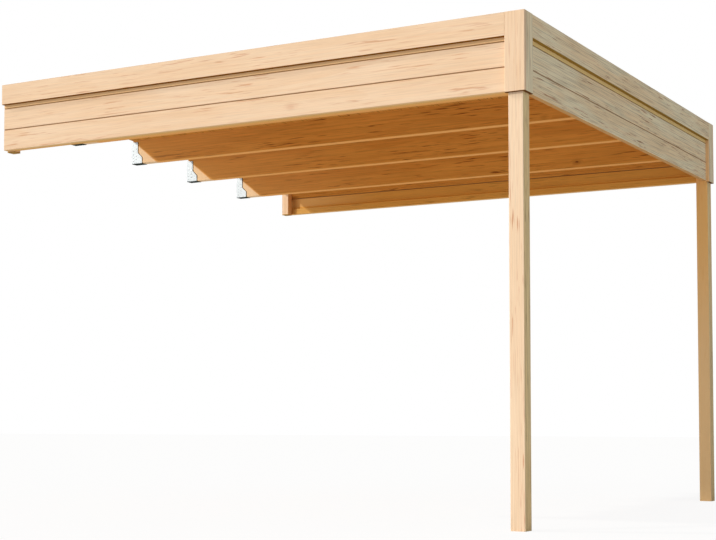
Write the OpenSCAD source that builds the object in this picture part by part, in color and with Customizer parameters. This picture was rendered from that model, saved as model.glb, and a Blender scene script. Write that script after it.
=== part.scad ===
// Lean-to roof extension for a flat-roofed garden building.
// Two square posts and a house wall carry a shallow roof box: a three-sided
// fascia of tongued boards with a proud top board, four joists in steel
// hangers that step down towards the rear, a boarded deck and a felt tray.
//
// Axes: +X runs from the wall to the posts, +Y from front to rear, +Z up.
// The origin is on the wall face of the front wall batten, at its middle.
// Inside the model every place is measured from the wall (X), from the front
// face of the fascia (Y) and from the lower edge of its boards (Z).

/* [Overall] */
// From the wall to the outer face of the fascia
reach = 3000; // [2400:10:3600]
// From the front face to the rear face of the fascia
width = 2912; // [2400:8:3600]
// Clear height under the fascia boards
headroom = 1912; // [1800:4:2400]

/* [Fascia] */
// Height of the boarded fascia, up to the top of its proud top board
fascia_h = 348; // [330:1:380]
// Thickness of the tongued boards
board_t = 28; // [24:1:32]
// Visible height of one tongued board
board_cover = 113.5; // [108:0.5:114]
// Shadow gap at the joint of two tongued boards, in which they can swell
board_gap = 1.5; // [0.5:0.5:2.5]
// How much of the uppermost tongued board shows under the top board
top_reveal = 18.5; // [6:0.5:20]
// How far the top and corner boards rise over the boards behind them
top_lip = 11.5; // [8:0.5:16]
// Thickness of the top boards, and of the corner boards beside the posts
trim_t = 20; // [18:1:24]
// Thickness of the corner boards in front of the posts
corner_t = 14; // [10:0.5:16]
// Width of a corner board
corner_w = 95; // [92:1:120]
// How far corner boards and wall battens reach below the fascia boards
drop = 8; // [0:1:15]
// Section of the laths inside the fascia, depth and height
lath = [18, 36]; // [12:1:48]

/* [Frame] */
// Side of a square post
post_w = 70; // [60:1:74]
// Radius on the long edges of a post
post_edge_r = 3; // [1:0.5:5]
// Side of a square wall batten
batten_w = 48; // [40:1:60]
// Thickness of a joist
joist_t = 48; // [40:1:60]
// Depth of a joist
joist_h = 140; // [120:1:150]
// Distance from joist to joist
joist_pitch = 558.5; // [480:0.5:620]
// How far the first joist's underside lies below the tops of the posts
first_joist_depth = 215.5; // [205:0.5:230]
// How much lower each joist lies than the one before it
joist_step = 27; // [20:1:28]
// Thickness of the edge beam
beam_t = 42; // [38:1:60]
// Room left at a joist's wall end for the screw heads in its hanger
joist_end_gap = 8; // [5:1:12]

/* [Joist hangers] */
// Thickness of the steel
steel_t = 2; // [1.5:0.5:3]
// Height of a hanger's cheeks
hanger_h = 130; // [110:1:138]
// Seat length along the joist
seat_l = 74; // [60:1:90]
// Height of the long lower part of a cheek
seat_cheek_h = 36; // [24:1:44]
// Length of a cheek above the seat part
cheek_l = 43; // [30:1:50]
// Width of each fixing flange, folded in behind the joist
flange_w = 20; // [18:1:22]
// Diameter of a fixing hole
fixing_d = 9; // [6:0.5:11]
// Height between the two fixing holes of a flange
fixing_pitch = 70; // [60:1:80]
// Diameter of a nail hole
nail_d = 5; // [3:0.5:6]
// Distance between nail holes
nail_pitch = 20; // [16:1:22]

/* [Roof] */
// Thickness of the deck boards
deck_t = 18; // [16:1:24]
// Width that one deck board covers
deck_cover = 120; // [90:5:145]
// Height of the laths that carry the deck's front and rear edges
deck_lath_h = 24; // [18:1:30]
// Thickness of the two-layer roofing felt
felt_t = 4; // [3:0.5:6]
// Outer diameter of the rainwater spout
spout_d = 32; // [24:1:36]
// Wall of the spout
spout_wall = 2; // [1.5:0.5:3]
// Width of the spout's flange on the felt
spout_flange = 6; // [4:1:10]
// How far the spout stands out of the rear fascia
spout_out = 60; // [50:5:80]

/* [Hidden] */
$fn = 48;

pine = [0.93, 0.80, 0.62];
pine_inside = [0.80, 0.62, 0.40];
steel = [0.80, 0.82, 0.84];
felt = [0.22, 0.23, 0.24];
zinc = [0.62, 0.65, 0.67];

joist_count = 4;                        // as many as the joist nodes
over = 1;                               // how far a cut runs past a face
eased = 2;                              // small bevel on planed edges
v_joint = 2.5;                          // bevel beside a board joint
tongue = [8, 8];                        // thickness and height of a tongue
fit = 0.3;                              // play between tongue and groove
groove_depth = tongue.y + 1;

post_x = reach - corner_t - post_w;     // inner side of the posts
post_near_y = corner_t + post_w;        // rear side of the front post
post_far_y = width - post_near_y;       // front side of the rear post
inside_y = trim_t + board_t;            // back of the front boards
inside_far_y = width - inside_y;        // back of the rear boards
inside_x = reach - inside_y;            // back of the side boards
beam_x = inside_x - beam_t;             // inner side of the edge beam
post_top = fascia_h - top_lip;          // top of posts and upper boards
upper_board_z = post_top - board_cover; // joint under the upper boards
middle_board_z = upper_board_z - board_cover;
top_board_z = upper_board_z + top_reveal;
top_board_h = fascia_h - top_board_z;

// The deck rests on a plane that falls to the rear
fall = joist_step / joist_pitch;
fall_angle = atan(fall);
function joist_y(k) = k * joist_pitch;
function joist_z(k) = post_top - first_joist_depth - (k - 1) * joist_step;
function deck_z(y) = joist_z(1) + joist_h - (y - joist_y(1)) * fall;

hanger_w = joist_t + 2 * steel_t;
bend_r = 2 * steel_t;                   // outer radius of a fold
beam_low_z = joist_z(joist_count);     // flush under the lowest joist
seat_slope_h = seat_l - cheek_l;        // 45 degree step in a cheek
fixing_across = joist_t - flange_w;     // between the flanges' hole rows
fixing_low = (hanger_h - fixing_pitch) / 2;

spout_y = inside_far_y - felt_t;        // inner end of the spout
spout_x = reach / 2;
spout_z = deck_z(inside_far_y) + deck_t + felt_t + spout_d / 2 + spout_flange + fit;

batten_mid_y = inside_y + batten_w / 2;
batten_mid_z = (deck_z(batten_mid_y) - drop) / 2;
far = 2 * max(reach, width);            // longer than the whole model

// Puts the model's origin on the wall face of the front wall batten
module from_batten() {
    translate([0, -batten_mid_y, -batten_mid_z]) children();
}

// ---- plans and profiles ----

// Square with rounded corners, its own corner at the origin
module rounded_square(size, r) {
    translate([r, 0]) square([size - 2 * r, size]);
    translate([0, r]) square([size, size - 2 * r]);
    for (x = [r, size - r], y = [r, size - r])
        translate([x, y]) circle(r);
}

// Section of a plain board, with both edges of its outer face (y = 0) eased
module plain_section(t, h) {
    polygon([[eased, 0], [t, 0], [t, h], [eased, h], [0, h - eased], [0, eased]]);
}

// Section of a tongued board: x is the depth from the outer face, y the height
module tongued_section(h, groove = true, tongued = true) {
    inner = [(board_t - tongue.x) / 2, (board_t + tongue.x) / 2];
    slot = [inner[0] - fit, inner[1] + fit];
    lip = groove ? board_gap : 0;
    bottom = groove
        ? [[slot[0], lip], [slot[0], groove_depth],
           [slot[1], groove_depth], [slot[1], lip]]
        : [];
    top = tongued
        ? [[inner[1], h], [inner[1], h + tongue.y], [inner[0], h + tongue.y], [inner[0], h]]
        : [];
    polygon(concat(
        [[v_joint, lip]], bottom,
        [[board_t - v_joint, lip], [board_t, lip + v_joint], [board_t, h - v_joint],
         [board_t - v_joint, h]],
        top,
        [[v_joint, h], [0, h - v_joint], [0, lip + v_joint]]));
}

// Runs a section (depth, height) along +X, with its depth along +Y
module run_along_x(x0, x1, y, z) {
    translate([x0, y, z]) rotate([90, 0, 90]) linear_extrude(x1 - x0) children();
}

// The same with the depth along -Y, for the rear of the fascia
module run_along_x_facing_rear(x0, x1, y, z) {
    translate([x1, y, z]) rotate([90, 0, -90]) linear_extrude(x1 - x0) children();
}

// Runs a section along +Y with its depth along -X, for the side of the fascia
module run_along_y(y0, y1, x, z) {
    translate([x, y0, z]) rotate([90, 0, 180]) linear_extrude(y1 - y0) children();
}

// Half space above a plane that lies h over the top of the joists
module above_fall(h) {
    translate([-far / 2, 0, deck_z(0) + h]) rotate([-fall_angle, 0, 0])
        translate([0, -far / 2, 0]) cube([2 * far, 2 * far, far]);
}

// Plan of the roof inside the boards, notched round the posts. It starts at
// wall_x and keeps the inset from the boards and the posts.
function roof_plan(wall_x, inset) = [
    [wall_x, inside_y + inset],
    [post_x - inset, inside_y + inset],
    [post_x - inset, post_near_y + inset],
    [inside_x - inset, post_near_y + inset],
    [inside_x - inset, post_far_y - inset],
    [post_x - inset, post_far_y - inset],
    [post_x - inset, inside_far_y - inset],
    [wall_x, inside_far_y - inset]
];

// ---- frame ----

module post(y) {
    color(pine) from_batten()
        translate([post_x, y, -headroom])
            linear_extrude(headroom + post_top) rounded_square(post_w, post_edge_r);
}

module front_post() { post(corner_t); }

module rear_post() { post(post_far_y); }

// Upright at the wall, its free edges eased and its top cut to the fall
module wall_batten(y) {
    free = batten_w - eased;
    color(pine_inside) from_batten()
        difference() {
            translate([0, y, -drop]) linear_extrude(drop + post_top)
                polygon([[0, 0], [free, 0], [batten_w, eased], [batten_w, free],
                         [free, batten_w], [0, batten_w]]);
            above_fall(0);
        }
}

module front_wall_batten() { wall_batten(inside_y); }

module rear_wall_batten() { wall_batten(inside_far_y - lath.x - batten_w); }

// Beam between the posts, with its top planed to the fall
module edge_beam() {
    color(pine_inside) from_batten()
        run_along_x(beam_x, inside_x, 0, 0)
            polygon([[post_near_y, beam_low_z], [post_far_y, beam_low_z],
                     [post_far_y, deck_z(post_far_y)],
                     [post_near_y, deck_z(post_near_y)]]);
}

// Joist with eased lower edges and its top planed to the fall. It is held by a
// hanger at the wall, and butts on the edge beam, screwed from behind the beam.
module joist(k) {
    color(pine_inside) from_batten()
        run_along_x(joist_end_gap, beam_x, joist_y(k), joist_z(k))
            polygon([[eased, 0], [joist_t - eased, 0], [joist_t, eased],
                     [joist_t, joist_h - joist_t * fall], [0, joist_h], [0, eased]]);
}

module joist_1() { joist(1); }

module joist_2() { joist(2); }

module joist_3() { joist(3); }

module joist_4() { joist(4); }

// ---- laths inside the fascia ----

module front_bottom_lath() {
    color(pine_inside) from_batten()
        translate([batten_w, inside_y, 0]) cube([post_x - batten_w, lath.x, lath.y]);
}

module rear_bottom_lath() {
    color(pine_inside) from_batten()
        translate([0, inside_far_y - lath.x, 0]) cube([post_x, lath.x, lath.y]);
}

// Lath under the edge of the deck, its top planed to the fall
module deck_lath(x0, y) {
    low = deck_z(y) - deck_lath_h;
    color(pine_inside) from_batten()
        run_along_x(x0, post_x, y, 0)
            polygon([[0, low], [lath.x, low], [lath.x, deck_z(y + lath.x)],
                     [0, deck_z(y)]]);
}

module front_deck_lath() { deck_lath(batten_w, inside_y); }

module rear_deck_lath() { deck_lath(0, inside_far_y - lath.x); }

// ---- fascia ----

// Courses of the fascia: 0 is the lower board, sawn to the height that is
// left, 1 the middle and 2 the upper board
course_z = [0, middle_board_z, upper_board_z, post_top];

module course_section(i) {
    tongued_section(course_z[i + 1] - course_z[i], groove = i > 0, tongued = i < 2);
}

module front_course(i) {
    color(pine) from_batten()
        run_along_x(0, post_x, trim_t, course_z[i]) course_section(i);
}

module rear_course(i) {
    color(pine) from_batten()
        run_along_x_facing_rear(0, post_x, width - trim_t, course_z[i]) course_section(i);
}

module side_course(i) {
    color(pine) from_batten()
        run_along_y(post_near_y, post_far_y, reach - trim_t, course_z[i])
            course_section(i);
}

module front_lower_board() { front_course(0); }

module front_middle_board() { front_course(1); }

module front_upper_board() { front_course(2); }

module side_lower_board() { side_course(0); }

module side_middle_board() { side_course(1); }

module side_upper_board() { side_course(2); }

module rear_lower_board() { rear_course(0); }

module rear_middle_board() { bored_for_spout() rear_course(1); }

module rear_upper_board() { bored_for_spout() rear_course(2); }

module front_top_board() {
    color(pine) from_batten()
        run_along_x(0, reach - corner_w, 0, top_board_z)
            plain_section(trim_t, top_board_h);
}

module side_top_board() {
    color(pine) from_batten()
        run_along_y(corner_w, width - corner_w, reach, top_board_z)
            plain_section(trim_t, top_board_h);
}

module rear_top_board() {
    bored_for_spout() color(pine) from_batten()
        run_along_x_facing_rear(0, reach - corner_w, width, top_board_z)
            plain_section(trim_t, top_board_h);
}

// Upright board on a corner, from below the fascia to its top, rebated over the
// post. The arris of the corner is at the origin, the outer face runs along +X
// from x0, and the post lies towards +Y.
module corner_board(x0) {
    color(pine)
        translate([0, 0, -drop]) linear_extrude(fascia_h + drop)
            polygon([[x0 + eased, 0], [corner_w - eased, 0], [corner_w, eased],
                     [corner_w, trim_t], [post_near_y, trim_t],
                     [post_near_y, corner_t], [x0, corner_t], [x0, eased]]);
}

module front_corner_board() {
    from_batten() translate([reach, 0, 0]) mirror([1, 0, 0]) corner_board(0);
}

module side_front_corner_board() {
    from_batten() translate([reach, 0, 0]) rotate(90) corner_board(corner_t);
}

module side_rear_corner_board() {
    from_batten() translate([reach, width, 0]) mirror([0, 1, 0]) rotate(90)
        corner_board(corner_t);
}

module rear_corner_board() {
    from_batten() translate([reach, width, 0]) rotate(180) corner_board(0);
}

// ---- joist hangers ----

// Filled outline of a folded channel: square at the top, rounded at the bottom
module channel_outline(w, h, r) {
    translate([0, r]) square([w, h - r]);
    translate([r, 0]) square([w - 2 * r, r]);
    for (x = [r, w - r]) translate([x, r]) circle(r);
}

// Hanger seen from the wall, with its seat under the joist from x = 0 onwards.
// The two fixing flanges are folded in behind the joist's end.
module hanger_blank() {
    difference() {
        rotate([90, 0, 90]) linear_extrude(seat_l)
            difference() {
                channel_outline(hanger_w, hanger_h, bend_r);
                translate([steel_t, steel_t])
                    channel_outline(joist_t, hanger_h, bend_r - steel_t);
            }
        translate([0, hanger_w + over, 0]) rotate([90, 0, 0])
            linear_extrude(hanger_w + 2 * over)
                polygon([[seat_l + over, seat_cheek_h], [seat_l, seat_cheek_h],
                         [cheek_l, seat_cheek_h + seat_slope_h],
                         [cheek_l, hanger_h + over], [seat_l + over, hanger_h + over]]);
    }
    for (y = [steel_t, hanger_w - steel_t - flange_w])
        translate([0, y, bend_r]) cube([steel_t, flange_w, hanger_h - bend_r]);
}

// Bores through a flange of the hanger, into the wall
module fixing_bores() {
    for (side = [-1, 1], row = [0, 1])
        translate([-over, (hanger_w + side * fixing_across) / 2,
                   fixing_low + row * fixing_pitch])
            rotate([0, 90, 0]) cylinder(d = fixing_d, h = steel_t + 2 * over);
}

// Two rows of nail holes through both cheeks
module nail_bores() {
    for (row = [0 : 3], column = [0, 1])
        translate([cheek_l / 4 + column * cheek_l / 2, -over,
                   seat_cheek_h / 2 + row * nail_pitch + column * nail_pitch / 2])
            rotate([-90, 0, 0]) cylinder(d = nail_d, h = hanger_w + 2 * over);
}

module hanger() {
    color(steel)
        difference() {
            hanger_blank();
            fixing_bores();
            nail_bores();
        }
}

module wall_hanger(k) {
    from_batten()
        translate([0, joist_y(k) - steel_t, joist_z(k) - steel_t]) hanger();
}

module wall_hanger_1() { wall_hanger(1); }

module wall_hanger_2() { wall_hanger(2); }

module wall_hanger_3() { wall_hanger(3); }

module wall_hanger_4() { wall_hanger(4); }

// ---- roof ----

// Section of the deck across its boards, with a V at every joint underneath
module deck_section() {
    joints = [for (x = [deck_cover : deck_cover : inside_x - v_joint]) x];
    polygon(concat(
        [[0, 0]],
        [for (x = joints) each [[x - v_joint, 0], [x, v_joint], [x + v_joint, 0]]],
        [[inside_x, 0], [inside_x, deck_t], [0, deck_t]]));
}

// Boards laid from front to rear over the joists, notched round the posts
module roof_deck() {
    color(pine_inside) from_batten()
        intersection() {
            translate([0, 0, deck_z(0)]) rotate([-fall_angle, 0, 0])
                translate([0, far, 0]) rotate([90, 0, 0])
                    linear_extrude(2 * far) deck_section();
            linear_extrude(fascia_h) polygon(roof_plan(0, 0));
        }
}

// Felt tray: it lies on the deck, turns up against the boards and the posts,
// and is dressed over their tops behind the proud top boards
module roof_felt() {
    color(felt) from_batten()
        difference() {
            union() {
                intersection() {
                    linear_extrude(post_top + felt_t) polygon(roof_plan(0, 0));
                    above_fall(deck_t);
                }
                translate([0, trim_t, post_top])
                    cube([reach - trim_t, width - 2 * trim_t, felt_t]);
            }
            intersection() {
                linear_extrude(fascia_h) polygon(roof_plan(-over, felt_t));
                above_fall(deck_t + felt_t);
            }
            spout_bore();
        }
}

// Straight bore for the spout, through the felt and the rear of the fascia
module spout_bore() {
    translate([spout_x, spout_y - over, spout_z]) rotate([-90, 0, 0])
        cylinder(d = spout_d, h = felt_t + inside_y + 2 * over);
}

// A rear board with the hole that the spout makes where it meets the board
module bored_for_spout() {
    difference() {
        children();
        from_batten() spout_bore();
    }
}

// Round spout through the low side of the roof, its end cut at a slant
module rain_spout() {
    length = felt_t + inside_y + spout_out;
    color(zinc) from_batten()
        translate([spout_x, spout_y, spout_z]) rotate([-90, 0, 0])
            difference() {
                union() {
                    cylinder(d = spout_d, h = length);
                    translate([0, 0, -spout_wall])
                        cylinder(d = spout_d + 2 * spout_flange, h = spout_wall);
                }
                translate([0, 0, -spout_wall - over])
                    cylinder(d = spout_d - 2 * spout_wall,
                             h = length + spout_wall + 2 * over);
                translate([0, 0, length]) rotate([45, 0, 0])
                    translate([-spout_d, -spout_d * 2, 0]) cube(spout_d * 4);
            }
}

front_post();
rear_post();
front_lower_board();
front_middle_board();
front_upper_board();
front_top_board();
side_lower_board();
side_middle_board();
side_upper_board();
side_top_board();
rear_lower_board();
rear_middle_board();
rear_upper_board();
rear_top_board();
front_corner_board();
side_front_corner_board();
side_rear_corner_board();
rear_corner_board();
front_wall_batten();
rear_wall_batten();
front_bottom_lath();
rear_bottom_lath();
front_deck_lath();
rear_deck_lath();
edge_beam();
joist_1();
joist_2();
joist_3();
joist_4();
wall_hanger_1();
wall_hanger_2();
wall_hanger_3();
wall_hanger_4();
roof_deck();
roof_felt();
rain_spout();
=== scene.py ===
# %% [markdown]
# # A lean-to roof of planed pine
#
# The object is an open roof that leans on the wall of a shed: two posts, a
# boarded fascia round three sides, four joists in folded steel hangers, and a
# low roof with felt that drains through a spout at the rear. The joinery comes
# from the construction model, so this lesson is about finishes: how one recipe
# for planed pine can dress thirty timbers so that no two of them match, and
# how galvanised steel, felt and zinc differ from it in plain daylight.

# %% Load the construction model
import math

import bpy
import numpy as np
from mathutils import Matrix, Vector


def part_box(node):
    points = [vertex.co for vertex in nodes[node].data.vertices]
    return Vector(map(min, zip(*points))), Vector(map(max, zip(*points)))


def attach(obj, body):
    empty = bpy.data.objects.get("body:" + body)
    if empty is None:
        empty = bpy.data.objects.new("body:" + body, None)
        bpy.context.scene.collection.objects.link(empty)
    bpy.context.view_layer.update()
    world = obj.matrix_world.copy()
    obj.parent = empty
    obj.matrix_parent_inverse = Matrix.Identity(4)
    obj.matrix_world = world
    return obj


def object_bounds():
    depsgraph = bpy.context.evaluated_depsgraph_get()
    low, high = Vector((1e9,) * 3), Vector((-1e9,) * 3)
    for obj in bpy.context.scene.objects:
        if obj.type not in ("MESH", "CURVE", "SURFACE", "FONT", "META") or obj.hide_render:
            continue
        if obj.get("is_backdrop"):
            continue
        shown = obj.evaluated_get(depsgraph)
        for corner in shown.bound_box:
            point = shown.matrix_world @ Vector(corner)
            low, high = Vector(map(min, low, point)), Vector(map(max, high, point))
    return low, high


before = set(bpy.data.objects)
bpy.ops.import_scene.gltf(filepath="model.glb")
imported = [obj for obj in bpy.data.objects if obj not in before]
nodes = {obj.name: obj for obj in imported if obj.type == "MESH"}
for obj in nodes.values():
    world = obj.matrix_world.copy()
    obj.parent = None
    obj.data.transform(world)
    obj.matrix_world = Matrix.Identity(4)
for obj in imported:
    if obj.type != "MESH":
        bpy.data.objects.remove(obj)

low, high = (np.array(corner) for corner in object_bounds())
print(f"{len(nodes)} parts, {np.round(high - low, 3)} m over all")

# %% [markdown]
# ## Where the viewer stands
#
# The viewer stands some way off, with the eye at knee height, and looks
# slightly up under the roof. A long lens from a distance keeps the boards'
# lines nearly parallel. The view is raised partly by a tilt of 3 degrees and
# partly by a lens that is shifted upwards, as on an architect's camera. Tilting
# alone would do, with less to explain, but then the two posts would lean
# visibly towards each other.

# %% Camera
LENS, SENSOR = 74.9, 36.0              # mm
SHIFT = 0.1034                         # upwards, in widths of the view
YAW = math.radians(29.28)              # turned from the front towards the wall
PITCH = math.radians(3.0)              # looks this far up
STAND = Vector((5.492, -5.992, -1.582))
FAR = 200.0                            # m, well past the edge of the floor

camera_data = bpy.data.cameras.new("camera")
camera_data.lens = LENS
camera_data.sensor_width = SENSOR
camera_data.shift_y = SHIFT
camera_data.clip_end = FAR
camera = bpy.data.objects.new("camera", camera_data)
camera.location = STAND
camera.rotation_euler = (math.pi / 2 + PITCH, 0.0, YAW)
bpy.context.scene.collection.objects.link(camera)
bpy.context.scene.camera = camera
middle = Vector(((low + high) / 2).tolist())
print(f"camera {(middle - STAND).length:.1f} m from the middle")

# %% [markdown]
# ## Small helpers for materials
#
# Colours are chosen as the hex values that any paint or web chart prints, and
# the renderer wants linear light, so one function converts them. A second one
# adds a shader node, sets what is given as plain values and links what is
# given as nodes or sockets. Nodes could be placed and joined by hand in the
# editor, but as calls a material reads as a list of steps.
#
# Sockets that share a name go by number. In a Map Range node, 1 and 2 are the
# range that comes in, and 3 and 4 the one that goes out, which is 0 to 1 where
# they are left out. In a Mix node for colours, 0 is the amount by which 6 is
# turned towards 7.

# %% Helpers for materials
def linear(code):
    """sRGB hex to linear RGBA: c / 12.92 up to 0.04045, and above that
    ((c + 0.055) / 1.055) to the power 2.4."""
    c = np.array([int(code[i:i + 2], 16) for i in (1, 3, 5)]) / 255
    c = np.where(c <= 0.04045, c / 12.92, ((c + 0.055) / 1.055) ** 2.4)
    return (*c.tolist(), 1.0)


def add(tree, kind, inputs=(), **settings):
    """Adds a node of one kind to a tree. Settings are its own properties, and
    inputs maps a socket's name or number to a value, a colour in hex, another
    node's output, or a node, which stands for its first output in use."""
    made = tree.nodes.new("ShaderNode" + kind)
    for name, value in settings.items():
        setattr(made, name, value)
    for key, value in dict(inputs).items():
        if isinstance(value, bpy.types.Node):
            value = next(output for output in value.outputs if output.enabled)
        if isinstance(value, bpy.types.NodeSocket):
            tree.links.new(value, made.inputs[key])
        elif isinstance(value, str):
            made.inputs[key].default_value = linear(value)
        else:
            made.inputs[key].default_value = value
    return made


def blank_material(name):
    """A material and its tree, which is empty."""
    material = bpy.data.materials.new(name)
    material.use_nodes = True
    material.node_tree.nodes.clear()
    return material, material.node_tree


print("white is", linear("#ffffff"), "and mid grey", np.round(linear("#808080"), 3))

# %% [markdown]
# ## Pine, from the tree outwards
#
# Pine grows a pale, soft band each spring and a narrow, darker, harder band
# each summer. A board is a cut through that stack of cones, so the lines on
# its face, the lines on its edge and the arcs on its end are one pattern. It
# could be drawn as stripes on each face, but the stripes would not meet at
# the edges. Here the pattern is solid: the distance from the heart of the tree
# picks the ring, slow noise bends the trunk, and the same point in space gives
# the same wood on whichever face it is seen.
#
# The bands are 2 to 4 mm apart in real pine. At the distance of the viewer
# that is less than the eye can part, so rings are drawn 11 mm apart, and the
# fibres, which are really as fine as hair, some 4 mm.

# %% The grain of pine as one shared group
RING = 0.011                           # m from one summer band to the next
SOFT = dict(interpolation_type="SMOOTHSTEP")    # for a Map Range with soft ends

grain = bpy.data.node_groups.new("pine grain", "ShaderNodeTree")
for way, kind, names in (
        ("INPUT", "NodeSocketVector", ("Point",)),
        ("INPUT", "NodeSocketColor", ("Spring", "Summer", "Resin", "Knot")),
        ("INPUT", "NodeSocketFloat", ("Contrast", "Streaks", "Lines", "Drift")),
        ("OUTPUT", "NodeSocketColor", ("Colour",)),
        ("OUTPUT", "NodeSocketFloat", ("Roughness", "Height"))):
    for name in names:
        grain.interface.new_socket(name, in_out=way, socket_type=kind)
board = grain.nodes.new("NodeGroupInput").outputs
result = grain.nodes.new("NodeGroupOutput").inputs


def stretched(per_metre, detail, seed):
    """Noise with this many waves to the metre along, across and through the
    board: few along and many across make fibres that run with the grain. Each
    seed takes it from another place."""
    scaled = add(grain, "VectorMath", {0: board["Point"], 1: per_metre},
                 operation="MULTIPLY")
    moved = add(grain, "VectorMath", {0: scaled, 1: (seed, 2 * seed, 3 * seed)},
                operation="ADD")
    return add(grain, "TexNoise", {"Vector": moved, "Scale": 1.0, "Detail": detail,
                                   "Roughness": 0.55})


print("rings", RING * 1000, "mm apart")

# %% [markdown]
# ## Knots
#
# A knot is a branch that the trunk grew round. It runs outwards from the
# heart, so it crosses a board's face as a dark oval, and the rings swing round
# it. Knots could be listed one by one for each board. Scattered cells do it
# for all of them: each cell gives a knot its place, cells that are long
# through the board carry it from face to face, and a random number for each
# cell leaves most of them empty and gives the others different sizes.

# %% Knots
CELLS = (3.1, 6.2, 0.8)                # cells to the metre along, across, through
EMPTY = 0.66                           # share of the cells that hold no knot
SMALLEST = 0.022                       # a knot's least radius, in cells
LARGER = 0.04                          # what the largest has more
UNEVEN = 0.03                          # how much its outline wavers, in cells

cells = add(grain, "VectorMath", {0: board["Point"], 1: CELLS}, operation="MULTIPLY")
branch = add(grain, "TexVoronoi", {"Vector": cells, "Scale": 1.0}).outputs
chance = add(grain, "SeparateColor", {0: branch["Color"]}).outputs
there = add(grain, "Math", {0: chance[0], 1: EMPTY}, operation="GREATER_THAN")
size = add(grain, "Math", {0: chance[1], 1: LARGER, 2: SMALLEST},
           operation="MULTIPLY_ADD")
wobble = stretched((40.0, 60.0, 30.0), 1.0, 3.1)
away = add(grain, "Math", {0: wobble, 1: UNEVEN, 2: branch["Distance"]},
           operation="MULTIPLY_ADD")
away = add(grain, "Math", {0: away, 1: size}, operation="DIVIDE")

# The core ends at about one radius, and the rings swing out to some three.
core = add(grain, "MapRange", {0: away, 1: 1.05, 2: 0.7}, **SOFT)
core = add(grain, "Math", {0: core, 1: there}, operation="MULTIPLY")
swirl = add(grain, "MapRange", {0: away, 1: 3.2, 2: 0.9}, **SOFT)
swirl = add(grain, "Math", {0: swirl, 1: there}, operation="MULTIPLY")
print(f"a knot in {1 - EMPTY:.0%} of the cells")

# %% [markdown]
# ## Rings
#
# The heart of the trunk is a line along the board, bent by slow noise. The
# ring number is the distance from it over the ring width, a little larger
# towards one end because a trunk tapers, and beside a knot. A wave texture
# could draw even rings, but real wood darkens slowly through the year, and the
# band ends at once. So the part of a year that has passed is worked out first,
# and the band's shape from that.

# %% Rings that bend round the knots
BEND = 0.045                           # m between the heart's furthest places
TAPER = 0.006                          # m of radius for each metre of trunk
SWING = 0.012                          # m that the rings swing out at a knot

slow = stretched((0.9, 4.0, 4.0), 2.0, 1.7).outputs["Color"]
bend = add(grain, "VectorMath", {0: slow, 1: (0.5, 0.5, 0.5)}, operation="SUBTRACT")
bend = add(grain, "VectorMath", {0: bend, 1: (0.0, BEND, BEND)}, operation="MULTIPLY")
heart = add(grain, "VectorMath", {0: board["Point"], 1: (0.0, 1.0, 1.0)},
            operation="MULTIPLY")
heart = add(grain, "VectorMath", {0: heart, 1: bend}, operation="ADD")
radius = add(grain, "VectorMath", {0: heart}, operation="LENGTH")
along = add(grain, "SeparateXYZ", {0: board["Point"]})
radius = add(grain, "Math", {0: along, 1: TAPER, 2: radius}, operation="MULTIPLY_ADD")
radius = add(grain, "Math", {0: swirl, 1: SWING, 2: radius}, operation="MULTIPLY_ADD")
year = add(grain, "Math", {0: radius, 1: RING}, operation="DIVIDE")
year = add(grain, "Math", {0: year}, operation="FRACT")

darker = add(grain, "MapRange", {0: year, 1: 0.25, 2: 0.88}, **SOFT)
ended = add(grain, "MapRange", {0: year, 1: 1.0, 2: 0.9}, **SOFT)
clear = add(grain, "MapRange", {0: stretched((1.4, 14.0, 14.0), 1.0, 5.3),
                                1: 0.3, 2: 0.65, 3: 0.35}, **SOFT)
band = add(grain, "Math", {0: darker, 1: ended}, operation="MULTIPLY")
band = add(grain, "Math", {0: band, 1: clear}, operation="MULTIPLY")
print("the heart wanders by up to", BEND * 1000, "mm")

# %% [markdown]
# ## Fibres, resin and tone
#
# Four weaker effects make it wood rather than a diagram. Fibres mottle the
# surface, dark lines as long as a forearm follow them, resin leaves reddish
# streaks a hand long in some stretches of a board and few in others, and the
# hue drifts in patches from spring wood to summer wood. One noise for all four
# would be less work, but then they would darken the same places. The lines are
# really under 1 mm wide and are drawn at 3 mm, and the streaks at 7 mm, so
# that they read from a distance. Summer bands are harder than spring bands, so
# they stay a little proud and glossier after the plane, and the fibres carry a
# fine roughness.

# %% Colour, roughness and height of the grain
fibre = stretched((7.0, 230.0, 230.0), 2.0, 7.9)
drift = add(grain, "MapRange", {0: stretched((1.6, 12.0, 12.0), 2.0, 13.7),
                                1: 0.38, 2: 0.62}, **SOFT)
streak = add(grain, "MapRange", {0: stretched((7.0, 150.0, 150.0), 1.5, 11.3),
                                 1: 0.58, 2: 0.7}, **SOFT)
patch = add(grain, "MapRange", {0: stretched((2.0, 11.0, 11.0), 1.0, 19.3),
                                1: 0.42, 2: 0.62, 3: 0.25}, **SOFT)
streak = add(grain, "Math", {0: streak, 1: patch}, operation="MULTIPLY")
lines = add(grain, "MapRange", {0: stretched((3.2, 320.0, 320.0), 2.0, 17.1),
                                1: 0.44, 2: 0.64}, **SOFT)
lines = add(grain, "Math", {0: lines, 1: board["Lines"]}, operation="MULTIPLY")

colour = board["Spring"]
for mask, strength, towards in ((band, board["Contrast"], "Summer"),
                                (drift, board["Drift"], "Summer"),
                                (streak, board["Streaks"], "Resin"),
                                (swirl, 0.3, "Resin"), (core, 0.8, "Knot")):
    amount = add(grain, "Math", {0: mask, 1: strength}, operation="MULTIPLY")
    colour = add(grain, "Mix", {0: amount, 6: colour, 7: board[towards]},
                 data_type="RGBA")

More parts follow.
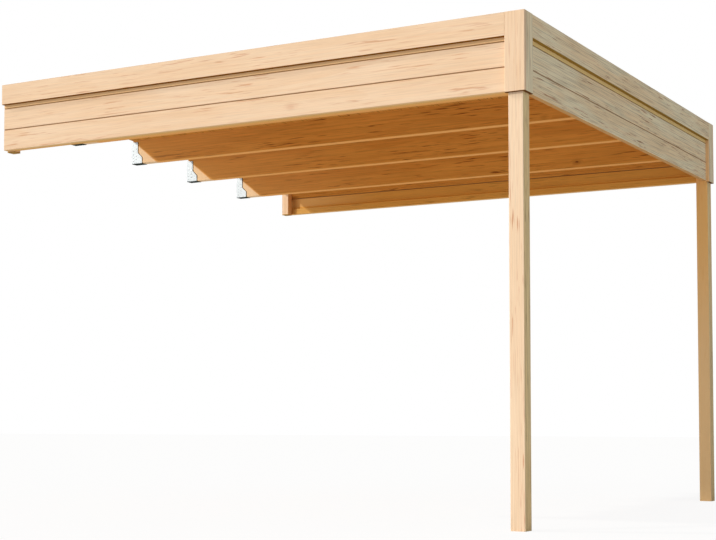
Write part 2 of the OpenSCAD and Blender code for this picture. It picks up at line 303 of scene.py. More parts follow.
# Fibres vary the tone by 0.16, and a line takes up to half of it away.
tone = add(grain, "Math", {0: fibre, 1: 0.16, 2: 0.94}, operation="MULTIPLY_ADD")
tone = add(grain, "Math", {0: lines, 1: -0.5, 2: tone}, operation="MULTIPLY_ADD")
colour = add(grain, "VectorMath", {0: colour, "Scale": tone}, operation="SCALE")

# Fibres roughen the wood, and summer bands are 0.12 smoother and stand proud.
rough = add(grain, "Math", {0: fibre, 1: 0.16, 2: 0.72}, operation="MULTIPLY_ADD")
rough = add(grain, "Math", {0: band, 1: -0.12, 2: rough}, operation="MULTIPLY_ADD")
height = add(grain, "Math", {0: fibre, 1: 0.6}, operation="MULTIPLY")
height = add(grain, "Math", {0: band, 1: 0.4, 2: height}, operation="MULTIPLY_ADD")
for name, made in (("Colour", colour), ("Roughness", rough), ("Height", height)):
    grain.links.new(made.outputs[0], result[name])
print(len(grain.nodes), "nodes in the grain of pine")

# %% [markdown]
# ## One board, one cut
#
# Boards from one mill share a colour, and yet every board was cut at its own
# place in its own tree. Copying one material to all of them would let the
# rings run on from board to board, as if the fascia were one slab. So each
# board gets the shared group with its own mapping: turned so that the grain
# follows its longest side, centred on the board, and then pushed along the
# trunk and away from the heart by an amount worked out from its number. The
# roof deck is one solid that stands for some two dozen boards. They lie across
# the joists, so its grain runs to the front, and it is cut into boards by
# arithmetic: the distance from its edge over a board's width, rounded down,
# is the board's number.

# %% Place each board in its tree
TRUNK = 3.7                            # m of trunk for each board, more than it needs
HEART = 0.09                           # m from the heart to a board, on average
ASIDE = 0.05                           # m that a board lies aside, at most
DECK_BOARD = 0.120                     # m that one board of the deck covers


def board_axes(node):
    """Rows for the board's long, wide and thin directions, with its middle
    and half its size along them. The last row changes sign where the three
    would mirror the board."""
    a, b = (np.array(corner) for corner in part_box(node))
    turn = np.eye(3)[[1, 0, 2] if node == "roof_deck" else np.argsort(a - b)]
    turn[2] *= np.linalg.det(turn)
    return turn, turn @ (a + b) / 2, np.abs(turn @ (b - a)) / 2


def on_board(tree, node):
    """Object coordinates, turned and centred by a Mapping node so that they
    run along, across and through the board from its middle."""
    turn, middle, _ = board_axes(node)
    point = add(tree, "TexCoord").outputs["Object"]
    return add(tree, "Mapping", {"Vector": point, "Location": (-middle).tolist(),
                                 "Rotation": Matrix(turn.tolist()).to_euler()})


def in_tree(tree, point, number):
    """Moves board number to its own stretch of the trunk. Sines of multiples
    of the number, which never come round again, choose how far it lies aside
    and from the heart."""
    shift = (TRUNK * number, ASIDE * math.sin(2.4 * number),
             HEART * (1 + 0.3 * math.sin(1.7 * number)))
    return add(tree, "VectorMath", {0: point, 1: shift}, operation="ADD")


def in_deck(tree, point, half):
    """Gives each board of the deck its own stretch of the trunk: with n the
    place across the deck over a board's width, the whole part of n moves the
    point along, and what is left of n is the place across the board. Half is
    half the deck's size across its boards."""
    along, across, through = add(tree, "SeparateXYZ", {0: point}).outputs
    n = add(tree, "Math", {0: across, 1: 1 / DECK_BOARD, 2: half / DECK_BOARD},
            operation="MULTIPLY_ADD")
    whole = add(tree, "Math", {0: n}, operation="FLOOR")
    rest = add(tree, "Math", {0: n}, operation="FRACT")
    along = add(tree, "Math", {0: whole, 1: TRUNK, 2: along}, operation="MULTIPLY_ADD")
    across = add(tree, "Math", {0: rest, 1: DECK_BOARD, 2: -DECK_BOARD / 2},
                 operation="MULTIPLY_ADD")
    return add(tree, "CombineXYZ", {0: along, 1: across, 2: through})


print("the grain of a post runs along", board_axes("front_post")[0][0])

# %% [markdown]
# ## Masks that follow the boards
#
# A mask is 0 where a mark leaves the wood alone, and rises to its amount where
# the mark covers it. Masks could be painted by hand over the whole roof, but
# they would be wrong as soon as a length changes. These are worked out from
# the boards' own boxes, from a level, and from the way that a face looks, and
# so they move with the boards.

# %% Masks by place
def place_of(tree):
    """x, y and z of the point that is shaded, in metres."""
    point = add(tree, "TexCoord").outputs["Object"]
    return add(tree, "SeparateXYZ", {0: point}).outputs


def near_edges(tree, node, width, amount):
    """On the long edges of a board, fading over width on both faces beside
    them: on a face the distance through the board is nothing, so the larger
    of the two distances, across and through, is the way to the edge."""
    half = board_axes(node)[2].tolist()
    size = add(tree, "VectorMath", {0: on_board(tree, node)}, operation="ABSOLUTE")
    left = add(tree, "VectorMath", {0: half, 1: size}, operation="SUBTRACT")
    _, across, through = add(tree, "SeparateXYZ", {0: left}).outputs
    away = add(tree, "Math", {0: across, 1: through}, operation="MAXIMUM")
    return add(tree, "MapRange", {0: away, 1: width, 2: 0.3 * width, 4: amount})


def at_height(tree, level, half_width, amount):
    """In a level band, full up to 0.7 of half_width from its middle and soft
    from there to its edge."""
    away = add(tree, "Math", {0: place_of(tree)[2], 1: level}, operation="SUBTRACT")
    away = add(tree, "Math", {0: away}, operation="ABSOLUTE")
    return add(tree, "MapRange", {0: away, 1: half_width, 2: 0.7 * half_width,
                                  4: amount})


def deck_joints(tree, node, half_width, amount):
    """On the joints between the boards of a deck: with n the place across it
    over a board's width, a joint lies where n is whole, and the way to the
    nearest one is n less its nearest whole number."""
    start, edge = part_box(node)[0].x / DECK_BOARD, half_width / DECK_BOARD
    n = add(tree, "Math", {0: place_of(tree)[0], 1: 1 / DECK_BOARD, 2: -start},
            operation="MULTIPLY_ADD")
    nearest = add(tree, "Math", {0: n}, operation="ROUND")
    away = add(tree, "Math", {0: n, 1: nearest}, operation="SUBTRACT")
    away = add(tree, "Math", {0: away}, operation="ABSOLUTE")
    return add(tree, "MapRange", {0: away, 1: edge, 2: 0.6 * edge, 4: amount})


deck_start, deck_end = (corner.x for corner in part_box("roof_deck"))
print("the deck is", math.ceil((deck_end - deck_start) / DECK_BOARD), "boards")

# %% Masks by the way that a face looks
FRONT, RIGHT, DOWN = (0.0, -1.0, 0.0), (1.0, 0.0, 0.0), (0.0, 0.0, -1.0)
SKIN = 0.002                           # m of depth that counts as a board's back


def facing(tree, direction, amount):
    """On faces that look in one direction. The cosine of the angle between
    the two is measured: none up to 0.6, and in full from 0.8."""
    normal = add(tree, "NewGeometry").outputs["True Normal"]
    cosine = add(tree, "VectorMath", {0: normal, 1: direction},
                 operation="DOT_PRODUCT")
    return add(tree, "MapRange", {0: cosine, 1: 0.6, 2: 0.8, 4: amount})


def fading(tree, direction, axis, start, end, amount):
    """On faces that look in one direction: rises from 0 at start to amount at
    end, along x, y or z, which are axis 0, 1 or 2."""
    rise = add(tree, "MapRange", {0: place_of(tree)[axis], 1: start, 2: end}, **SOFT)
    return add(tree, "Math", {0: rise, 1: facing(tree, direction, amount)},
               operation="MULTIPLY")


def back_of(tree, node):
    """1 on the back of a fascia board and 0 elsewhere: whether the place along
    the board's thin direction, towards the middle of the roof, lies past a
    plane just under the back."""
    a, b = (np.array(corner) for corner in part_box(node))
    thin = np.argmin(b - a)
    inward = np.zeros(3)
    inward[thin] = np.sign((low + high)[thin] / 2 - (a + b)[thin] / 2)
    plane = max(a @ inward, b @ inward) - SKIN
    point = add(tree, "TexCoord").outputs["Object"]
    place = add(tree, "VectorMath", {0: point, 1: inward.tolist()},
                operation="DOT_PRODUCT")
    return add(tree, "Math", {0: place, 1: plane}, operation="GREATER_THAN")


print("front, right and down are", FRONT, RIGHT, DOWN)

# %% Masks at the joists' wall ends
SUNLIT = 0.178                         # m that low sun reaches along the underside
SLOPE = 1.25                           # m that it reaches less for each metre up
EDGE = 0.008                           # m of softness on either side of its limit
CHEEK = 0.043                          # m from the wall to the edge of a cheek,
SEAT = 0.074                           # and to the edge of its longer lower part,
SEAT_HEIGHT = 0.036                    # which is this high, below a 45 degree slope


def painted_sun_wedge(tree, node, amount):
    """A painted sunlit wedge at the wall, where low sun reaches the joist: up to
    where the distance from the wall and SLOPE times the height over the
    joist's underside make SUNLIT."""
    x, _, z = place_of(tree)
    along = add(tree, "Math", {0: z, 1: SLOPE, 2: x}, operation="MULTIPLY_ADD")
    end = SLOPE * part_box(node)[0].z + SUNLIT
    return add(tree, "MapRange", {0: along, 1: end + EDGE, 2: end - EDGE, 4: amount})


def painted_cheek_shadow(tree, node, amount):
    """A painted shadow beside the edge of a hanger's cheek, in full for 3 mm
    and gone at 6 mm.
    The edge is worked out from the height: SEAT from the wall up to
    SEAT_HEIGHT, then in at 45 degrees to CHEEK, and straight up from there."""
    a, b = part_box(node.replace("joist", "wall_hanger"))
    x, _, z = place_of(tree)
    slope = a.z + SEAT_HEIGHT
    edge = add(tree, "MapRange", {0: z, 1: slope, 2: slope + SEAT - CHEEK,
                                  3: SEAT, 4: CHEEK})
    away = add(tree, "Math", {0: x, 1: edge}, operation="SUBTRACT")
    line = add(tree, "MapRange", {0: away, 1: 0.006, 2: 0.003, 4: amount})
    below_top = add(tree, "Math", {0: z, 1: b.z}, operation="LESS_THAN")
    return add(tree, "Math", {0: line, 1: below_top}, operation="MULTIPLY")


print("low sun reaches", SUNLIT, "m along a joist, and a cheek", CHEEK, "m")

# %% [markdown]
# ## One material for each board
#
# Planed and left raw, pine has almost no sheen, since its fibres stand open.
# Its index is 1.5, and its relief some tenths of a millimetre. One material
# with a random number for each object would be shorter, but the masks need
# each board's own box, so every board gets a material: the shared grain in its
# own sort, on some boards a second sort on the faces that a mask picks, and
# over them the marks.

# %% Planed pine
def pine(node, number, sort, second, marks):
    """Planed pine for one board. Second is a mask, its values and a sort, or
    None, and marks are masks with their values and the colour they bring."""
    material, tree = blank_material(f"planed pine, {node.replace('_', ' ')}")
    place = on_board(tree, node)
    if node == "roof_deck":
        place = in_deck(tree, place, board_axes(node)[2][1])
    point = in_tree(tree, place, number)
    wood = add(tree, "Group", {"Point": point, **sort}, node_tree=grain).outputs
    colour = wood["Colour"]
    if second:
        mask, values, other = second
        other = add(tree, "Group", {"Point": point, **other}, node_tree=grain)
        colour = add(tree, "Mix", {0: mask(tree, **values), 6: colour,
                                   7: other.outputs["Colour"]}, data_type="RGBA")
    for mask, values, code in marks:
        colour = add(tree, "Mix", {0: mask(tree, **values), 6: colour, 7: code},
                     data_type="RGBA")
    relief = add(tree, "Bump", {"Height": wood["Height"], "Strength": 0.35,
                                "Distance": 0.0006})
    shade = add(tree, "BsdfPrincipled", {"Base Color": colour,
                                         "Roughness": wood["Roughness"],
                                         "Normal": relief, "IOR": 1.5,
                                         "Specular IOR Level": 0.02})
    add(tree, "OutputMaterial", {0: shade})
    return material


# %% [markdown]
# ## Sorts of pine
#
# The fascia and its corner boards are planed boards of clear, pale wood: a
# peach colour, quiet grain, few knots. The end boards come from a livelier
# batch that drifts between straw and peach, with fine lines all along them.
# The posts are the same wood as the fascia with more streaks, and yellower
# sapwood on the side away from the wall. The frame behind is full of resin
# streaks and painted oranger and darker than the fascia, as painted shade for
# the deep, warm shade under the roof, and the backs of the fascia boards are
# painted as dark as the frame, as the same shade. Six sets of values for one
# grain say all this. A recipe for each sort would say it six times over.

# %% Sorts of pine
SORTS = {
    "fascia": dict(Spring="#f7dabb", Summer="#edc49a", Resin="#c98052", Knot="#7d4526",
                   Contrast=0.3, Streaks=0.5, Lines=0.12, Drift=0.25),
    "side": dict(Spring="#fff3d2", Summer="#ffe1b6", Resin="#b0744c", Knot="#6d3c22",
                 Contrast=0.2, Streaks=0.8, Lines=0.62, Drift=0.6),
    "post": dict(Spring="#fce1c2", Summer="#efc9a2", Resin="#c57448", Knot="#7a4326",
                 Contrast=0.3, Streaks=0.9, Lines=0.2, Drift=0.2),
    "post side": dict(Spring="#ffe9b6", Summer="#f4cd90", Resin="#8f6a44",
                      Knot="#6d3c22", Contrast=0.3, Streaks=0.9, Lines=0.6, Drift=0.3),
    "batten": dict(Spring="#ffe0be", Summer="#eec290", Resin="#b5763f", Knot="#6a3518",
                   Contrast=0.3, Streaks=0.5, Lines=0.25, Drift=0.2),
    # painted shade: oranger and darker than the fascia, for the shade under the roof
    "frame": dict(Spring="#ecac54", Summer="#d08b3a", Resin="#824313", Knot="#6a3213",
                  Contrast=0.4, Streaks=0.95, Lines=0.35, Drift=0.2),
}
COURSES = ("lower_board", "middle_board", "upper_board")


def sort_of(name):
    """End boards, other boards of the fascia, posts, battens at the wall, or
    timber of the frame."""
    if name.endswith("_board"):
        return "side" if name.startswith("side") else "fascia"
    return {"post": "post", "batten": "batten"}.get(name.split("_")[-1], "frame")


def second_sort_of(name):
    """Where a timber shows a second sort: the backs of the fascia's boards,
    painted in the frame's shade, and the posts' sides away from the wall."""
    if name.endswith(COURSES):
        # the backs of the fascia boards are painted in the frame's shade
        return back_of, dict(node=name), SORTS["frame"]
    if name.endswith("post"):
        return facing, dict(direction=RIGHT, amount=1.0), SORTS["post side"]
    return None


print(len(SORTS), "sorts of pine")

# %% [markdown]
# ## Painted light and shade
#
# Most marks here are painted light and shade. The arrises of posts and
# corner boards are painted as pale highlights, and the top boards' upper
# edges are painted darker, as shade. Painted shade lines run along the joints
# between the boards, under the top boards and at the feet of corner boards
# and battens. The strip under a top board is painted with warm bounced light,
# and so is the fascia's lower edge. A noise over everything is the quick way,
# but shade follows the shapes, so each mark has a mask and a colour of its
# own. Later marks cover earlier ones, and they are given in that order.

# %% Painted highlights, painted shade and painted bounce light
GAP = 0.002                            # m from a board's foot down to its joint

below_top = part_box("front_top_board")[0].z
joints = [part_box(f"front_{course}")[0].z - GAP for course in COURSES[1:]]


def weathered(name):
    """Painted highlights on the arrises, painted shade at the feet, in the
    joints, under the top boards and on their upper edges, and strips of
    painted bounce light on one timber."""
    foot, head = (corner.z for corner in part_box(name))
    side = name.startswith("side")
    if name.endswith(("post", "corner_board")):
        # painted highlight along the arrises
        yield near_edges, dict(node=name, width=0.004, amount=0.4), "#ffe9cc"
    if name.endswith("corner_board"):
        # painted shade under the corner board's foot
        yield at_height, dict(level=foot, half_width=0.0025, amount=1.0), "#744a1f"
    if name.endswith(COURSES):
        # painted bounce light in the strip under the top board
        recess_bounce = dict(level=below_top - 0.010, half_width=0.0115, amount=0.9)
        yield at_height, recess_bounce, "#ffe29a" if side else "#ffd49c"
        # painted shade lines along the joints
        for joint in joints:
            yield at_height, dict(level=joint, half_width=0.0034, amount=0.8), "#a87444"
    if name.endswith("lower_board"):
        # painted warm shade on the underside of the lower edge
        edge = dict(level=foot, half_width=0.0012 if side else 0.0008, amount=0.85)
        yield at_height, edge, "#d29c55" if side else "#f3c986"
    if name.endswith("batten"):
        # painted warm shade at the batten's foot
        yield at_height, dict(level=foot, half_width=0.006, amount=0.9), "#aa8436"
    if name.endswith("top_board"):
        # painted shade under the top board
        underside_shade = dict(level=below_top, half_width=0.0022, amount=1.0)
        yield at_height, underside_shade, "#a6833c" if side else "#8a591c"
        # painted shade on the top board's upper edge
        yield at_height, dict(level=head, half_width=0.004, amount=0.5), "#d9bd9c"


print("joints at", np.round(joints, 4), "and the top boards from", round(below_top, 4))

# %% [markdown]
# ## The rear side, seen from within
#
# Through the open front the viewer sees the backs of the rear boards. Light
# from the ground on the lowest board and its lath is painted in, more so
# towards the wall and most in a strip just over the lath, and the batten's
# shadow is painted over the last hand's width beside it. The fronts of the
# rear post and of the corner board on it, the batten's right face and the
# undersides of both bottom laths are painted golden, as warm shade and
# bounced light where sun seldom reaches, and the post is painted paler
# towards its foot, where more light reaches it. More lamps could do some of
# this, but they would brighten all that stands in front as well.

# %% The rear side and the undersides
def rear_boards(name):
    """Painted warm light and the batten's painted shadow on the lowest boards of the rear
    side.
    """
    low_board, lath = "rear_lower_board", "rear_bottom_lath"
    if name in (low_board, lath):
        # painted light bounced from the ground, stronger towards the wall
        yield facing, dict(direction=FRONT, amount=0.45), "#f1c164"
        yield fading, dict(direction=FRONT, axis=0, start=0.80, end=0.06,
                           amount=0.85 if name == low_board else 0.3), "#ffd28a"
    if name == low_board:
        # painted light in the strip over the lath
        over_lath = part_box(lath)[1].z + 0.007
        yield at_height, dict(level=over_lath, half_width=0.009, amount=0.8), "#f8c464"
    # painted shadow of the batten
    if name in (low_board, "rear_middle_board", lath):
        yield fading, dict(direction=FRONT, axis=0, start=0.12, end=0.05,
                           amount=0.75), "#b07838"


def painted_bounce_and_shade(name):
    """Painted warm shade on the faces of one timber that sun seldom reaches,
    and on the rear post painted light that pales it from 1.75 m over its
    foot down to 0.75 m."""
    if name == "side_rear_corner_board":
        yield facing, dict(direction=FRONT, amount=0.6), "#ffc47e"
    if name == "rear_post":
        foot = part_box(name)[0].z
        # painted warm shade and bounce light on the faces that look to the front
        yield facing, dict(direction=FRONT, amount=0.8), "#ffc970"
        # painted light, paler towards the foot
        yield fading, dict(direction=FRONT, axis=2, start=foot + 1.75, end=foot + 0.75,
                           amount=0.5), "#ffe6bc"
    if name == "rear_wall_batten":
        yield facing, dict(direction=RIGHT, amount=0.85), "#dfa65e"
    if name.endswith("bottom_lath"):
        yield facing, dict(direction=DOWN, amount=0.9), "#fbc679"


# %% [markdown]
# ## Deck and joists
#
# Dark lines between the deck's boards help its V joints, which are small from
# a distance. The joists are painted golden below, as light bounced from the
# ground, and paler towards the wall, where low sun reaches in under the roof.
# The wedge that the low sun lights on each joist is painted paler still, and a
# dark shadow line is painted round each hanger's cheek. The wedge could be left
# to the lamps alone; the paint makes it paler than they do.

# %% Marks under the roof, and all marks of a timber
def under_roof(name):
    """Marks on the deck and on the joists."""
    if name == "roof_deck":
        yield deck_joints, dict(node=name, half_width=0.0035, amount=0.5), "#6e4219"
    if name.startswith("joist"):
        # painted bounce light on the undersides
        yield facing, dict(direction=DOWN, amount=0.9), "#ffbe70"
        # painted light, paler towards the wall
        yield fading, dict(direction=FRONT, axis=0, start=1.4, end=0.05,
                           amount=0.42), "#fbc078"
        # painted sunlit wedge
        yield painted_sun_wedge, dict(node=name, amount=0.85), "#fbe0ba"
        # painted shadow of the cheek
        yield painted_cheek_shadow, dict(node=name, amount=0.9), "#3f3324"


def marks_of(name):
    """All marks of one timber, those of the rear boards first, so that the
    painted shade in their joints covers them."""
    return [*rear_boards(name), *weathered(name), *painted_bounce_and_shade(name), *under_roof(name)]


print(len(marks_of("joist_1")), "marks on a joist")

# %% Dress every timber
def dress(node, material):
    """Puts a material in every slot of a part."""
    for slot in nodes[node].material_slots:
        slot.material = material


metal_or_felt = ("hanger", "felt", "spout")
timbers = sorted(n for n in nodes if not any(word in n for word in metal_or_felt))
for number, name in enumerate(timbers):
    dress(name, pine(name, number, SORTS[sort_of(name)], second_sort_of(name),
                     marks_of(name)))
print(len(timbers), "timbers dressed")

# %% [markdown]
# ## Galvanised steel
#
# The joist hangers are folded from steel sheet that was dipped in zinc. Fresh
# zinc freezes in crystals of 5 to 15 mm, the spangle, each of which mirrors the
# sky a little differently. The sheet is dry and faintly rough. A metal's colour
# is its mirror colour, so the base is a pale, cool grey. Faces towards the
# ground are painted almost black and no mirror, as painted shade, and so are
# the faces that look right, the sheared edges of the cheeks, whose bare cut
# steel is darker as well. A flat pattern would break at the folds. Cells in
# space run round them.

# %% Galvanised steel
SPANGLE = 0.009                        # m across one crystal of zinc
SPECKS = 900.0                         # to the metre, each about 1 mm

spangled, tree = blank_material("galvanised steel sheet")
point = add(tree, "TexCoord").outputs["Object"]
crystals = add(tree, "TexVoronoi", {"Vector": point, "Scale": 1 / SPANGLE})
tone = add(tree, "SeparateColor", {0: crystals.outputs["Color"]})
colour = add(tree, "Mix", {0: tone, 6: "#b3b8bb", 7: "#aab0b3"}, data_type="RGBA")

# Painted shade: faces towards the ground and faces that look right go almost black and
# stop mirroring.
normal = add(tree, "NewGeometry").outputs["True Normal"]
rightwards, _, upwards = add(tree, "SeparateXYZ", {0: normal}).outputs
painted_shade_below = add(tree, "MapRange", {0: upwards, 1: -0.3, 2: -0.9})
right_edge_shade = add(tree, "MapRange", {0: rightwards, 1: 0.3, 2: 0.6})
painted_dark = add(tree, "Math", {0: painted_shade_below, 1: right_edge_shade}, operation="MAXIMUM")
colour = add(tree, "Mix", {0: painted_dark, 6: colour, 7: "#39423d"}, data_type="RGBA")
mirror_share = add(tree, "Math", {0: 1.0, 1: painted_dark}, operation="SUBTRACT")
rough = add(tree, "MapRange", {0: tone, 3: 0.38, 4: 0.46})
rough = add(tree, "Math", {0: rough, 1: painted_dark}, operation="MAXIMUM")

specks = add(tree, "TexNoise", {"Vector": point, "Scale": SPECKS, "Detail": 1.0})
relief = add(tree, "Bump", {"Height": specks, "Strength": 0.15, "Distance": 0.0003})
shade = add(tree, "BsdfPrincipled", {"Base Color": colour, "Roughness": rough,
                                     "Normal": relief, "Metallic": mirror_share,
                                     "Specular IOR Level": 0.0})
add(tree, "OutputMaterial", {0: shade})

hangers = sorted(n for n in nodes if "hanger" in n)
for name in hangers:
    dress(name, spangled)
print("spangle of", SPANGLE * 1000, "mm on", len(hangers), "hangers")

# %% [markdown]
# ## Roofing felt
#
# The roof lies under bitumen felt, surfaced with crushed slate against the
# sun. The granules are about 1 mm, drawn at 5 mm so that they still read, and
# the strips lap every 0.9 m down the fall, where a thin black line of bitumen
# shows. It is dry and rough, with hardly any sheen. Real granules would be
# millions of faces, so cells of random grey stand for them, in the colour and
# in the relief.

# %% Roofing felt
GRANULE = 0.005                        # m across one granule, as drawn
LAP = 0.9                              # m from one lap of the strips to the next

slated, tree = blank_material("slate-surfaced roofing felt")
point = add(tree, "TexCoord").outputs["Object"]
granules = add(tree, "TexVoronoi", {"Vector": point, "Scale": 1 / GRANULE})
grey = add(tree, "SeparateColor", {0: granules.outputs["Color"]})
weather = add(tree, "TexNoise", {"Vector": point, "Scale": 2.2, "Detail": 4.0})
strip = add(tree, "Math", {0: place_of(tree)[1], 1: LAP}, operation="DIVIDE")
strip = add(tree, "Math", {0: strip}, operation="FRACT")
# A line some 8 mm wide, as a part of the strip.
lap = add(tree, "MapRange", {0: strip, 1: 0.006, 2: 0.012, 3: 1.0, 4: 0.0})

colour = add(tree, "Mix", {0: grey, 6: "#4c4f4f", 7: "#74777a"}, data_type="RGBA")
colour = add(tree, "Mix", {0: weather, 6: colour, 7: "#5d5c58"}, data_type="RGBA")
colour = add(tree, "Mix", {0: lap, 6: colour, 7: "#1d1c1b"}, data_type="RGBA")
height = add(tree, "Math", {0: granules, 1: 0.3, 2: lap}, operation="MULTIPLY_ADD")
relief = add(tree, "Bump", {"Height": height, "Strength": 0.5, "Distance": 0.002})
shade = add(tree, "BsdfPrincipled", {"Base Color": colour, "Roughness": 0.93,
                                     "Normal": relief})
add(tree, "OutputMaterial", {0: shade})
dress("roof_felt", slated)
print("felt laps every", LAP, "m")

# %% [markdown]
# ## Zinc
#
# The spout is soldered from rolled zinc. It weathers to a soft blue-grey with
# cloudy patches where water ran, and is far duller than new steel. Three
# noises would do for colour, roughness and relief, but they belong together,
# so one noise gives all three.

# %% Rolled zinc
CLOUDS = 38.0                          # to the metre, each about 26 mm

weathered_zinc, tree = blank_material("weathered rolled zinc")
point = add(tree, "TexCoord").outputs["Object"]
clouds = add(tree, "TexNoise", {"Vector": point, "Scale": CLOUDS, "Detail": 4.0})
colour = add(tree, "Mix", {0: clouds, 6: "#8f989d", 7: "#b4bcc0"}, data_type="RGBA")
rough = add(tree, "MapRange", {0: clouds, 3: 0.6, 4: 0.38})
relief = add(tree, "Bump", {"Height": clouds, "Strength": 0.2, "Distance": 0.0006})
shade = add(tree, "BsdfPrincipled", {"Base Color": colour, "Roughness": rough,
                                     "Normal": relief, "Metallic": 1.0})
add(tree, "OutputMaterial", {0: shade})
dress("rain_spout", weathered_zinc)

# %% [markdown]
# ## Nails in the hangers
#
# Each hanger is nailed to its joist through both cheeks with short ringed
# nails, whose heads are low domes. A sphere per nail would spend faces on
# shapes that are never seen, so one profile is carried round each nail's axis,
# and all of the heads on a cheek are worked out in one array as a single mesh.

# %% The shape of a row of nail heads
RINGS = 5                              # circles of points in a nail head
TURNS = 12                             # points in each


def nail_heads(name, centres, axis, width, rise):
    """Low domes on a plane. At an angle t from the crown, which is 90 degrees
    at the rim, a dome has the radius R sin(t), with R half its width, and the
    height rise (0.4 + 0.6 cos(t)). The profile is carried round the axis, and
    a straight skirt goes from the rim down to the plane."""
    t = np.linspace(0, np.pi / 2, RINGS)[1:]
    out = np.append(np.sin(t), 1.0) * width / 2
    up = np.append(np.cos(t) * rise * 0.6 + rise * 0.4, 0.0)
    angle = np.arange(TURNS) * 2 * np.pi / TURNS
    axis = np.array(axis, float)
    side = np.roll(np.abs(axis), 1)
    other = np.cross(axis, side)
    rim = np.cos(angle)[:, None] * side + np.sin(angle)[:, None] * other
    shell = (out[:, None, None] * rim + up[:, None, None] * axis).reshape(-1, 3)
    shell = np.vstack([shell, axis * rise])
    points = (np.array(centres)[:, None] + shell).reshape(-1, 3)

    ring = np.arange(TURNS)
    after = np.roll(ring, -1)
    row = np.arange(RINGS - 1)[:, None] * TURNS
    quads = np.stack([row + ring, row + TURNS + ring, row + TURNS + after,
                      row + after], -1).reshape(-1, 4)
    crown = np.stack([np.full(TURNS, RINGS * TURNS), ring, after], -1)
    base = ring[None, ::-1] + (RINGS - 1) * TURNS
    faces = []
    for first in np.arange(len(centres)) * len(shell):
        for part in (quads, crown, base):
            faces += (part + first).tolist()
    mesh = bpy.data.meshes.new(name)
    mesh.from_pydata(points.tolist(), [], faces)
    mesh.polygons.foreach_set("use_smooth", np.ones(len(faces), bool))
    mesh.materials.append(spangled)
    piece = bpy.data.objects.new(name, mesh)
    bpy.context.scene.collection.objects.link(piece)
    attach(piece, "root")
    return len(faces)


print("a nail head has", RINGS * TURNS + 1, "points")

# %% Nail heads in both cheeks of each hanger
NAIL_PITCH = 0.020                     # m from one nail up to the next in its column
HEAD, RISE = 0.0075, 0.0012            # m, a head's width and how far it stands out

row, column, cheek = np.meshgrid(np.arange(4), np.arange(2), np.arange(2))
count = 0
for name in hangers:
    a, b = (np.array(corner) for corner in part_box(name))
    x = a[0] + CHEEK / 4 + column * CHEEK / 2
    z = a[2] + SEAT_HEIGHT / 2 + row * NAIL_PITCH + column * NAIL_PITCH / 2
    for side, y in ((0, a[1]), (1, b[1])):
        here = cheek == side
        centres = np.stack([x[here], np.full(here.sum(), y), z[here]], -1)
        count += nail_heads(f"{name}_nails_{side + 1}", centres,
                            (0, 2 * side - 1, 0), HEAD, RISE)
print(row.size * len(hangers), "nail heads in the cheeks, with", count, "faces")

# %% [markdown]
# ## A white studio
#
# The roof stands on a pale floor under an even white sky. Both show as white
# to the viewer and in metal. It would be simple to light them until they are
# white, but that light would bleach the pine as well. So the sky is weak where
# it lights the object and white where it is looked at, and the floor glows to
# the viewer for 0.88 of its colour, while the rest still takes the roof's soft
# shadow.

# %% White sky
SKY = 0.33                             # strength of the light from the sky


def white_to_viewer(tree):
    """1 for what the viewer and mirrors see, 0 for the light that falls on
    the object."""
    path = add(tree, "LightPath").outputs
    return add(tree, "Math", {0: path["Is Camera Ray"], 1: path["Is Glossy Ray"]},
               operation="MAXIMUM")


world = bpy.data.worlds.new("even white sky")
world.use_nodes = True
tree = world.node_tree
tree.nodes.clear()
level = add(tree, "MapRange", {0: white_to_viewer(tree), 3: SKY, 4: 1.0})
backdrop = add(tree, "Background", {"Color": "#ffffff", "Strength": level})
add(tree, "OutputWorld", {0: backdrop})
bpy.context.scene.world = world
print("sky", SKY)

# %% Pale floor
GLOW = 0.88                            # share of the floor that is white light
REACH = 40.0                           # m from the middle to the floor's edge

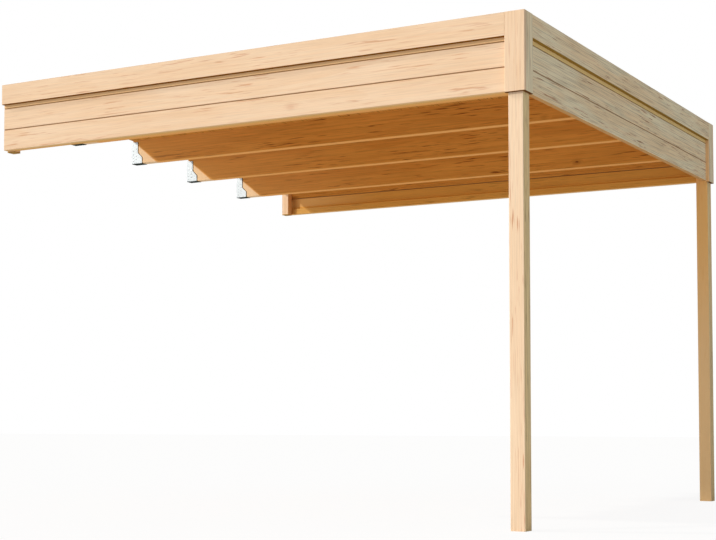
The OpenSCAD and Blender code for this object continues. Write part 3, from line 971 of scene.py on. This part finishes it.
pale, tree = blank_material("pale studio floor")
matt = add(tree, "BsdfDiffuse", {"Color": "#dedede"})
glow = add(tree, "Emission", {"Color": "#ffffff", "Strength": 1.0})
lit = add(tree, "BsdfDiffuse", {"Color": "#ffffff"})
seen = add(tree, "MixShader", {0: GLOW, 1: lit, 2: glow})
both = add(tree, "MixShader", {0: white_to_viewer(tree), 1: matt, 2: seen})
add(tree, "OutputMaterial", {0: both})

reach = np.linspace(-REACH, REACH, 3)
across, deep = np.meshgrid(reach, reach)
ground = np.stack([across, deep, np.full_like(across, low[2])], -1).reshape(-1, 3)
corner = (np.arange(2)[:, None] * 3 + np.arange(2)).ravel()
mesh = bpy.data.meshes.new("studio_floor")
mesh.from_pydata(ground.tolist(), [],
                 np.stack([corner, corner + 1, corner + 4, corner + 3], -1).tolist())
mesh.materials.append(pale)
floor = bpy.data.objects.new("studio_floor", mesh)
bpy.context.scene.collection.objects.link(floor)
floor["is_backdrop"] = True
print("floor at", round(low[2], 3), "m")

# %% [markdown]
# ## Three lamps
#
# Two lamps are small and stand to the left: one 36 degrees up and almost
# beside the roof, whose beam reaches in at the wall and lights the ends of the
# joists, and one 27 degrees up and further to the front, which keeps the
# shadow under the top board short. A broad, weak one in front opens the shade.
# A single lamp would be simpler, but where it lights the joists' ends it throws
# the shadow of the top board over half of the board below. The end boards are
# left to the sky.

# %% Lamps
LAMPLIGHT = "#fffaf2"                  # slightly warm

for name, energy, spread, towards in (("low sun", 1.35, 2.0, (-1.41, -0.49, 1.1)),
                                      ("front lamp", 1.28, 3.0, (-1.41, -1.6, 1.1)),
                                      ("broad lamp", 0.5, 60.0, (-0.3, -1.2, 0.6))):
    lamp = bpy.data.lights.new(name, "SUN")
    lamp.energy = energy
    lamp.angle = math.radians(spread)
    lamp.color = linear(LAMPLIGHT)[:3]
    stand = bpy.data.objects.new(name, lamp)
    stand.rotation_euler = Vector(towards).to_track_quat("Z", "Y").to_euler()
    bpy.context.scene.collection.objects.link(stand)
bpy.context.scene.view_settings.view_transform = "Standard"
print(len(bpy.data.lights), "lamps")

# %% [markdown]
# ## Sizes, and the end
#
# Finishes don't change what the carpenter measures, so the dressed roof has to
# fill the same box as the construction model. A look at both would show only
# large slips, so the two boxes are printed as numbers.

# %% Sizes, and the end
low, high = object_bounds()
print("visual model", np.round(np.array(high) - np.array(low), 3), "m over all")
